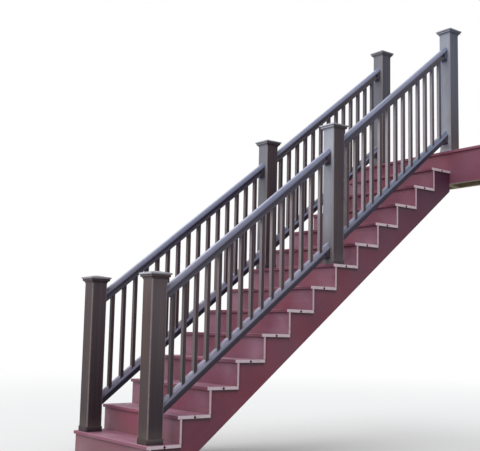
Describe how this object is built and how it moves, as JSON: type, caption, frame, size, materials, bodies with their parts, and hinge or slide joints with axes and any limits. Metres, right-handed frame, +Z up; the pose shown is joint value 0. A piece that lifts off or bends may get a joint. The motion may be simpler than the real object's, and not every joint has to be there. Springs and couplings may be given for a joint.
{
  "type": "deck stairs",
  "caption": "Straight flight of wooden deck stairs with closed risers, notched skirt boards, square newels with caps and raked baluster guards on both sides.",
  "frame": {"origin": "centre of the flat back face of the ledger at the head of the flight, which fastens to a deck", "axes": "+Y the way a person climbs, level, out of the mount face; +X to the climber's right; +Z up"},
  "size_m": [1.79, 3.472, 3.91],
  "materials": {
    "red_composite": "matte weathered composite boards",
    "brown_composite": "satin composite railing",
    "framing_lumber": "rough treated softwood",
    "spacer_grey": "satin composite blocks"
  },
  "bodies": {
    "root": {"stringer_left": "framing_lumber", "stringer_middle": "framing_lumber", "stringer_right": "framing_lumber", "skirt_left": "red_composite", "skirt_right": "red_composite", "tread_01": "red_composite", "tread_02": "red_composite", "tread_03": "red_composite", "tread_04": "red_composite", "tread_05": "red_composite", "tread_06": "red_composite", "tread_07": "red_composite", "tread_08": "red_composite", "tread_09": "red_composite", "tread_10": "red_composite", "tread_11": "red_composite", "tread_12": "red_composite", "tread_13": "red_composite", "risers": "red_composite", "newel_left_bottom": "brown_composite", "newel_left_middle": "brown_composite", "newel_left_top": "brown_composite", "newel_right_bottom": "brown_composite", "newel_right_middle": "brown_composite", "newel_right_top": "brown_composite", "newel_caps": "brown_composite", "top_rail_left_lower": "brown_composite", "top_rail_left_upper": "brown_composite", "top_rail_right_lower": "brown_composite", "top_rail_right_upper": "brown_composite", "bottom_rail_left_lower": "brown_composite", "bottom_rail_left_upper": "brown_composite", "bottom_rail_right_lower": "brown_composite", "bottom_rail_right_upper": "brown_composite", "balusters_left_lower": "brown_composite", "balusters_left_upper": "brown_composite", "balusters_right_lower": "brown_composite", "balusters_right_upper": "brown_composite", "rail_spacers": "spacer_grey", "deck_fascia": "red_composite", "rim_joist": "framing_lumber", "foot_cleat": "framing_lumber", "ledger": "framing_lumber", "head_joists": "framing_lumber", "landing_boards": "red_composite"}
  },
  "joints": []
}
